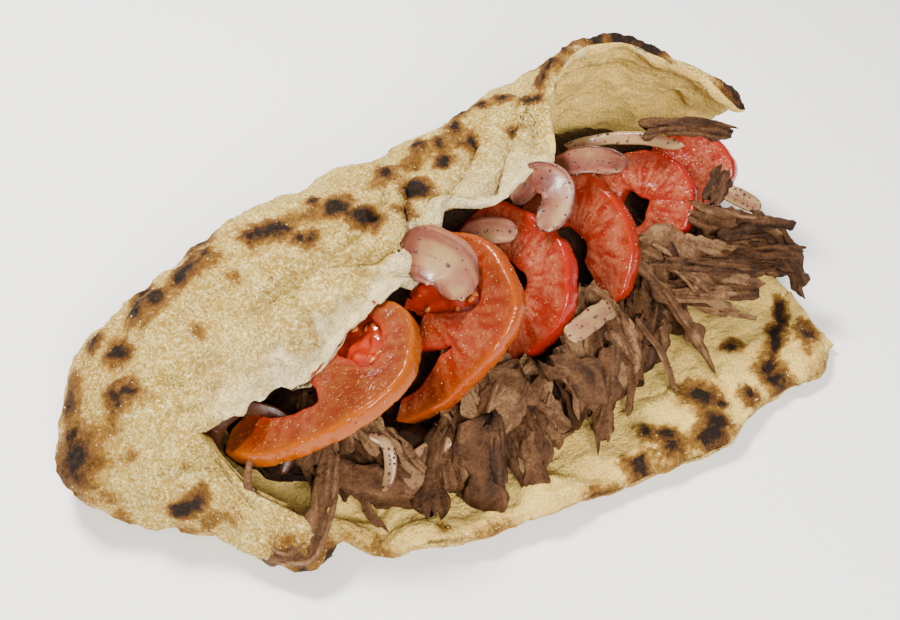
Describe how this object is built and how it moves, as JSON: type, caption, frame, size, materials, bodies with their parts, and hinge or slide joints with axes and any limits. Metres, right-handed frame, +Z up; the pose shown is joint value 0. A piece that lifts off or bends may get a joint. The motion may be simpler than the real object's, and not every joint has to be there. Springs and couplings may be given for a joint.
{
  "type": "doner kebab sandwich",
  "caption": "Doner kebab sandwich: an oval flatbread folded into a pocket, closed at one end, filled with shaved meat, tomato slices and red onion.",
  "frame": {"origin": "middle of the base's box, on the surface it lies on", "axes": "+X along the sandwich from its closed end to its open end, -Y towards the mouth of the pocket, +Z up"},
  "size_m": [0.2562, 0.1338, 0.0778],
  "materials": {
    "bread": "matt baked flatbread, cream with dark char spots",
    "tomato": "wet cut tomato with glossy skin",
    "onion": "raw red onion, pale and slightly see-through",
    "meat": "roast shaved meat, grey-brown and fibrous"
  },
  "bodies": {
    "root": {"bread": "bread", "meat_heap": "meat", "meat_strip_1": "meat", "meat_strip_2": "meat", "meat_strip_3": "meat", "meat_strip_4": "meat", "meat_strip_5": "meat", "meat_strip_6": "meat", "meat_strip_7": "meat", "meat_strip_8": "meat", "meat_strip_9": "meat", "meat_strip_10": "meat", "meat_strip_11": "meat", "meat_strip_12": "meat", "meat_strip_13": "meat", "meat_strip_14": "meat", "meat_strip_15": "meat", "onion_wedge": "onion", "onion_ring": "onion", "onion_strip_1": "onion", "onion_strip_2": "onion", "onion_strip_3": "onion", "onion_strip_4": "onion", "onion_strip_5": "onion", "onion_curl": "onion", "onion_ring_edge": "onion", "onion_end": "onion", "tomato_slice_1": "tomato", "tomato_slice_2": "tomato", "tomato_slice_3": "tomato", "tomato_slice_4": "tomato", "tomato_slice_5": "tomato", "tomato_slice_6": "tomato"}
  },
  "joints": []
}
